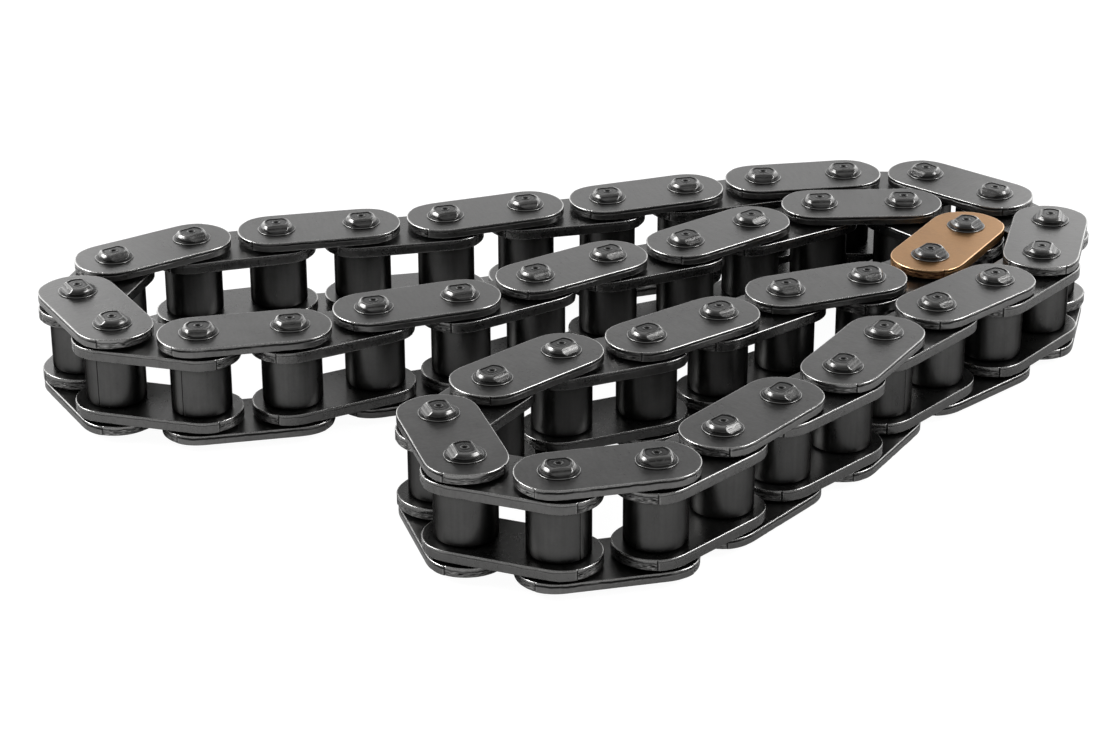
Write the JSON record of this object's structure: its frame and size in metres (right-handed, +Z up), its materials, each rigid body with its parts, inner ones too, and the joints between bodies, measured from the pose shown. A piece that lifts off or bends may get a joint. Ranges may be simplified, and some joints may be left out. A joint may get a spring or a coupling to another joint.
{
  "type": "roller chain loop",
  "caption": "Closed loop of small-pitch roller chain lying on its side in a loose double bend, with riveted pins and one copper-coloured marked link.",
  "frame": {"origin": "middle of the loop's outline, on the plane of the lower pin heads", "axes": "+Z up along the pins, +X to the right along the lay's longest side, +Y away from the viewer"},
  "size_m": [0.1148, 0.0848, 0.0127],
  "materials": {
    "plate_steel": "satin",
    "outer_link_steel": "satin",
    "inner_link_steel": "satin",
    "pin_steel": "polished",
    "bush_steel": "satin",
    "roller_steel": "satin",
    "marked_plate": "satin"
  },
  "bodies": {
    "outer_01": {"outer_link_01": "outer_link_steel"},
    "inner_01": {"inner_plate_top_01": "plate_steel", "inner_plate_bottom_01": "plate_steel", "bush_01a": "bush_steel", "bush_01b": "bush_steel"},
    "outer_02": {"outer_plate_top_02": "plate_steel", "outer_plate_bottom_02": "plate_steel", "pin_02a": "pin_steel", "pin_02b": "pin_steel"},
    "inner_02": {"inner_plate_top_02": "plate_steel", "inner_plate_bottom_02": "plate_steel", "bush_02a": "bush_steel", "bush_02b": "bush_steel"},
    "outer_03": {"outer_link_03": "outer_link_steel"},
    "inner_03": {"inner_link_03": "inner_link_steel"},
    "outer_04": {"outer_link_04": "outer_link_steel"},
    "inner_04": {"inner_link_04": "inner_link_steel"},
    "outer_05": {"outer_link_05": "outer_link_steel"},
    "inner_05": {"inner_link_05": "inner_link_steel"},
    "outer_06": {"outer_link_06": "outer_link_steel"},
    "inner_06": {"inner_link_06": "inner_link_steel"},
    "outer_07": {"outer_link_07": "outer_link_steel"},
    "inner_07": {"inner_link_07": "inner_link_steel"},
    "outer_08": {"outer_link_08": "outer_link_steel"},
    "inner_08": {"inner_link_08": "inner_link_steel"},
    "outer_09": {"outer_link_09": "outer_link_steel"},
    "inner_09": {"inner_link_09": "inner_link_steel"},
    "outer_10": {"outer_link_10": "outer_link_steel"},
    "inner_10": {"inner_link_10": "inner_link_steel"},
    "outer_11": {"outer_link_11": "outer_link_steel"},
    "inner_11": {"inner_link_11": "inner_link_steel"},
    "outer_12": {"outer_link_12": "outer_link_steel"},
    "inner_12": {"inner_link_12": "inner_link_steel"},
    "outer_13": {"outer_link_13": "outer_link_steel"},
    "inner_13": {"inner_link_13": "inner_link_steel"},
    "outer_14": {"outer_link_14": "outer_link_steel"},
    "inner_14": {"inner_link_14": "inner_link_steel"},
    "outer_15": {"outer_link_15": "outer_link_steel"},
    "inner_15": {"inner_link_15": "inner_link_steel"},
    "outer_16": {"outer_link_16": "outer_link_steel"},
    "inner_16": {"inner_link_16": "inner_link_steel"},
    "outer_17": {"outer_link_17": "outer_link_steel"},
    "inner_17": {"inner_link_17": "inner_link_steel"},
    "outer_18": {"outer_link_18": "outer_link_steel"},
    "inner_18": {"inner_link_18": "inner_link_steel"},
    "outer_19": {"marked_plate_19": "marked_plate", "outer_plate_bottom_19": "plate_steel", "pin_19a": "pin_steel", "pin_19b": "pin_steel"},
    "inner_19": {"inner_link_19": "inner_link_steel"},
    "outer_20": {"outer_link_20": "outer_link_steel"},
    "inner_20": {"inner_link_20": "inner_link_steel"},
    "outer_21": {"outer_link_21": "outer_link_steel"},
    "inner_21": {"inner_link_21": "inner_link_steel"},
    "outer_22": {"outer_link_22": "outer_link_steel"},
    "inner_22": {"inner_link_22": "inner_link_steel"},
    "spinning_roller_01a": {"roller_01a": "roller_steel"},
    "spinning_roller_01b": {"roller_01b": "roller_steel"},
    "spinning_roller_02a": {"roller_02a": "roller_steel"},
    "spinning_roller_02b": {"roller_02b": "roller_steel"}
  },
  "joints": [
    {"name": "pivot_20a", "type": "hinge", "parent": "inner_19", "child": "outer_20", "pos_m": [0.03109, 0.00773, 0.00635], "axis": [0, 0, 1], "range_deg": [-45, 0]},
    {"name": "pivot_20b", "type": "hinge", "parent": "outer_20", "child": "inner_20", "pos_m": [0.0222, 0.00433, 0.00635], "axis": [0, 0, 1], "range_deg": [0, 45]},
    {"name": "pivot_21a", "type": "hinge", "parent": "inner_20", "child": "outer_21", "pos_m": [0.01477, -0.00163, 0.00635], "axis": [0, 0, 1], "range_deg": [0, 11]},
    {"name": "pivot_21b", "type": "hinge", "parent": "outer_21", "child": "inner_21", "pos_m": [0.00712, -0.00731, 0.00635], "axis": [0, 0, 1], "range_deg": [-11, 0]},
    {"name": "pivot_22a", "type": "hinge", "parent": "inner_21", "child": "outer_22", "pos_m": [-0.00167, -0.01098, 0.00635], "axis": [0, 0, 1], "range_deg": [-6, 45]},
    {"name": "pivot_22b", "type": "hinge", "parent": "outer_22", "child": "inner_22", "pos_m": [-0.00861, -0.01751, 0.00635], "axis": [0, 0, 1], "range_deg": [-45, 6]},
    {"name": "pivot_01a", "type": "hinge", "parent": "inner_22", "child": "outer_01", "pos_m": [-0.01367, -0.02557, 0.00635], "axis": [0, 0, 1], "range_deg": [0, 11]},
    {"name": "pivot_01b", "type": "hinge", "parent": "outer_01", "child": "inner_01", "pos_m": [-0.0109, -0.03468, 0.00635], "axis": [0, 0, 1], "range_deg": [-11, 0]},
    {"name": "pivot_02a", "type": "hinge", "parent": "inner_01", "child": "outer_02", "pos_m": [-0.00199, -0.03807, 0.00635], "axis": [0, 0, 1], "range_deg": [0, 11]},
    {"name": "pivot_02b", "type": "hinge", "parent": "outer_02", "child": "inner_02", "pos_m": [0.00728, -0.03589, 0.00635], "axis": [0, 0, 1], "range_deg": [-11, 0]},
    {"name": "pivot_03a", "type": "hinge", "parent": "inner_02", "child": "outer_03", "pos_m": [0.0139, -0.02904, 0.00635], "axis": [0, 0, 1], "range_deg": [-45, 0]},
    {"name": "pivot_03b", "type": "hinge", "parent": "outer_03", "child": "inner_03", "pos_m": [0.01997, -0.0217, 0.00635], "axis": [0, 0, 1], "range_deg": [0, 45]},
    {"name": "pivot_04a", "type": "hinge", "parent": "inner_03", "child": "outer_04", "pos_m": [0.02666, -0.01492, 0.00635], "axis": [0, 0, 1], "range_deg": [-40, 0]},
    {"name": "pivot_04b", "type": "hinge", "parent": "outer_04", "child": "inner_04", "pos_m": [0.03152, -0.00673, 0.00635], "axis": [0, 0, 1], "range_deg": [0, 40]},
    {"name": "pivot_05a", "type": "hinge", "parent": "inner_04", "child": "outer_05", "pos_m": [0.0378, 0.00044, 0.00635], "axis": [0, 0, 1], "range_deg": [-6, 45]},
    {"name": "pivot_05b", "type": "hinge", "parent": "outer_05", "child": "inner_05", "pos_m": [0.04473, 0.00696, 0.00635], "axis": [0, 0, 1], "range_deg": [-45, 6]},
    {"name": "pivot_06a", "type": "hinge", "parent": "inner_05", "child": "outer_06", "pos_m": [0.05073, 0.01436, 0.00635], "axis": [0, 0, 1], "range_deg": [0, 11]},
    {"name": "pivot_06b", "type": "hinge", "parent": "outer_06", "child": "inner_06", "pos_m": [0.05303, 0.0236, 0.00635], "axis": [0, 0, 1], "range_deg": [-11, 0]},
    {"name": "pivot_07a", "type": "hinge", "parent": "inner_06", "child": "outer_07", "pos_m": [0.04783, 0.03159, 0.00635], "axis": [0, 0, 1], "range_deg": [0, 11]},
    {"name": "pivot_07b", "type": "hinge", "parent": "outer_07", "child": "inner_07", "pos_m": [0.0406, 0.03778, 0.00635], "axis": [0, 0, 1], "range_deg": [-11, 0]},
    {"name": "pivot_08a", "type": "hinge", "parent": "inner_07", "child": "outer_08", "pos_m": [0.03108, 0.03813, 0.00635], "axis": [0, 0, 1], "range_deg": [-45, 0]},
    {"name": "pivot_19b", "type": "hinge", "parent": "inner_19", "child": "outer_19", "pos_m": [0.03852, 0.01369, 0.00635], "axis": [0, 0, 1], "range_deg": [-40, 0]},
    {"name": "pivot_19a", "type": "hinge", "parent": "outer_19", "child": "inner_18", "pos_m": [0.04338, 0.02188, 0.00635], "axis": [0, 0, 1], "range_deg": [0, 40]},
    {"name": "pivot_18b", "type": "hinge", "parent": "inner_18", "child": "outer_18", "pos_m": [0.03714, 0.02907, 0.00635], "axis": [0, 0, 1], "range_deg": [0, 11]},
    {"name": "pivot_18a", "type": "hinge", "parent": "outer_18", "child": "inner_17", "pos_m": [0.02762, 0.02873, 0.00635], "axis": [0, 0, 1], "range_deg": [-11, 0]},
    {"name": "pivot_17b", "type": "hinge", "parent": "inner_17", "child": "outer_17", "pos_m": [0.01958, 0.02362, 0.00635], "axis": [0, 0, 1], "range_deg": [-45, 0]},
    {"name": "pivot_17a", "type": "hinge", "parent": "outer_17", "child": "inner_16", "pos_m": [0.01205, 0.0178, 0.00635], "axis": [0, 0, 1], "range_deg": [0, 45]},
    {"name": "pivot_16b", "type": "hinge", "parent": "inner_16", "child": "outer_16", "pos_m": [0.00344, 0.01372, 0.00635], "axis": [0, 0, 1], "range_deg": [-45, 45]},
    {"name": "pivot_16a", "type": "hinge", "parent": "outer_16", "child": "inner_15", "pos_m": [-0.00442, 0.00834, 0.00635], "axis": [0, 0, 1], "range_deg": [-45, 45]},
    {"name": "pivot_15b", "type": "hinge", "parent": "inner_15", "child": "outer_15", "pos_m": [-0.01238, 0.00311, 0.00635], "axis": [0, 0, 1], "range_deg": [-45, 38]},
    {"name": "pivot_15a", "type": "hinge", "parent": "outer_15", "child": "inner_14", "pos_m": [-0.02139, 0.00001, 0.00635], "axis": [0, 0, 1], "range_deg": [-38, 45]},
    {"name": "pivot_14b", "type": "hinge", "parent": "inner_14", "child": "outer_14", "pos_m": [-0.02979, -0.00448, 0.00635], "axis": [0, 0, 1], "range_deg": [-45, 45]},
    {"name": "pivot_14a", "type": "hinge", "parent": "outer_14", "child": "inner_13", "pos_m": [-0.03912, -0.00638, 0.00635], "axis": [0, 0, 1], "range_deg": [-45, 45]},
    {"name": "pivot_13b", "type": "hinge", "parent": "inner_13", "child": "outer_13", "pos_m": [-0.04833, -0.00394, 0.00635], "axis": [0, 0, 1], "range_deg": [-45, 0]},
    {"name": "pivot_13a", "type": "hinge", "parent": "outer_13", "child": "inner_12", "pos_m": [-0.05303, 0.00435, 0.00635], "axis": [0, 0, 1], "range_deg": [0, 45]},
    {"name": "pivot_12b", "type": "hinge", "parent": "inner_12", "child": "outer_12", "pos_m": [-0.05034, 0.01348, 0.00635], "axis": [0, 0, 1], "range_deg": [-45, 45]},
    {"name": "pivot_12a", "type": "hinge", "parent": "outer_12", "child": "inner_11", "pos_m": [-0.04248, 0.01887, 0.00635], "axis": [0, 0, 1], "range_deg": [-45, 45]},
    {"name": "pivot_11b", "type": "hinge", "parent": "inner_11", "child": "outer_11", "pos_m": [-0.03331, 0.02144, 0.00635], "axis": [0, 0, 1], "range_deg": [-45, 45]},
    {"name": "pivot_11a", "type": "hinge", "parent": "outer_11", "child": "inner_10", "pos_m": [-0.02398, 0.02335, 0.00635], "axis": [0, 0, 1], "range_deg": [-45, 45]},
    {"name": "pivot_10b", "type": "hinge", "parent": "inner_10", "child": "outer_10", "pos_m": [-0.01465, 0.02529, 0.00635], "axis": [0, 0, 1], "range_deg": [0, 11]},
    {"name": "pivot_10a", "type": "hinge", "parent": "outer_10", "child": "inner_09", "pos_m": [-0.00567, 0.02846, 0.00635], "axis": [0, 0, 1], "range_deg": [-11, 0]},
    {"name": "pivot_09b", "type": "hinge", "parent": "inner_09", "child": "outer_09", "pos_m": [0.00362, 0.03058, 0.00635], "axis": [0, 0, 1], "range_deg": [-45, 38]},
    {"name": "pivot_09a", "type": "hinge", "parent": "outer_09", "child": "inner_08", "pos_m": [0.01262, 0.03368, 0.00635], "axis": [0, 0, 1], "range_deg": [-38, 45]},
    {"name": "roller_spin_01a", "type": "hinge", "parent": "inner_01", "child": "spinning_roller_01a", "pos_m": [-0.0109, -0.03468, 0.00635], "axis": [0, 0, 1], "continuous": true},
    {"name": "roller_spin_01b", "type": "hinge", "parent": "inner_01", "child": "spinning_roller_01b", "pos_m": [-0.00199, -0.03807, 0.00635], "axis": [0, 0, 1], "continuous": true},
    {"name": "roller_spin_02a", "type": "hinge", "parent": "inner_02", "child": "spinning_roller_02a", "pos_m": [0.00728, -0.03589, 0.00635], "axis": [0, 0, 1], "continuous": true},
    {"name": "roller_spin_02b", "type": "hinge", "parent": "inner_02", "child": "spinning_roller_02b", "pos_m": [0.0139, -0.02904, 0.00635], "axis": [0, 0, 1], "continuous": true}
  ],
  "couplings": [
    {"joint": "pivot_20b", "follows": "pivot_20a", "ratio": -1},
    {"joint": "pivot_17b", "follows": "pivot_20a", "ratio": 1},
    {"joint": "pivot_17a", "follows": "pivot_20a", "ratio": -1},
    {"joint": "pivot_03a", "follows": "pivot_20a", "ratio": 1},
    {"joint": "pivot_03b", "follows": "pivot_20a", "ratio": -1},
    {"joint": "pivot_13b", "follows": "pivot_20a", "ratio": 1},
    {"joint": "pivot_13a", "follows": "pivot_20a", "ratio": -1},
    {"joint": "pivot_08a", "follows": "pivot_20a", "ratio": 1},
    {"joint": "pivot_21a", "follows": "pivot_21b", "ratio": -1},
    {"joint": "pivot_18b", "follows": "pivot_21b", "ratio": -1},
    {"joint": "pivot_18a", "follows": "pivot_21b", "ratio": 1},
    {"joint": "pivot_01a", "follows": "pivot_21b", "ratio": -1},
    {"joint": "pivot_01b", "follows": "pivot_21b", "ratio": 1},
    {"joint": "pivot_02a", "follows": "pivot_21b", "ratio": -1},
    {"joint": "pivot_02b", "follows": "pivot_21b", "ratio": 1},
    {"joint": "pivot_06a", "follows": "pivot_21b", "ratio": -1},
    {"joint": "pivot_06b", "follows": "pivot_21b", "ratio": 1},
    {"joint": "pivot_07a", "follows": "pivot_21b", "ratio": -1},
    {"joint": "pivot_10b", "follows": "pivot_21b", "ratio": -1},
    {"joint": "pivot_07b", "follows": "pivot_21b", "ratio": 1},
    {"joint": "pivot_10a", "follows": "pivot_21b", "ratio": 1},
    {"joint": "pivot_22a", "follows": "pivot_22b", "ratio": -1},
    {"joint": "pivot_05a", "follows": "pivot_22b", "ratio": -1},
    {"joint": "pivot_05b", "follows": "pivot_22b", "ratio": 1},
    {"joint": "pivot_19b", "follows": "pivot_19a", "ratio": -1},
    {"joint": "pivot_04a", "follows": "pivot_19a", "ratio": -1},
    {"joint": "pivot_04b", "follows": "pivot_19a", "ratio": 1},
    {"joint": "pivot_16b", "follows": "pivot_16a", "ratio": -1},
    {"joint": "pivot_12b", "follows": "pivot_16a", "ratio": -1},
    {"joint": "pivot_12a", "follows": "pivot_16a", "ratio": 1},
    {"joint": "pivot_15b", "follows": "pivot_15a", "ratio": -1},
    {"joint": "pivot_09b", "follows": "pivot_15a", "ratio": -1},
    {"joint": "pivot_09a", "follows": "pivot_15a", "ratio": 1},
    {"joint": "pivot_14a", "follows": "pivot_14b", "ratio": -1},
    {"joint": "pivot_11b", "follows": "pivot_14b", "ratio": 1},
    {"joint": "pivot_11a", "follows": "pivot_14b", "ratio": -1}
  ]
}
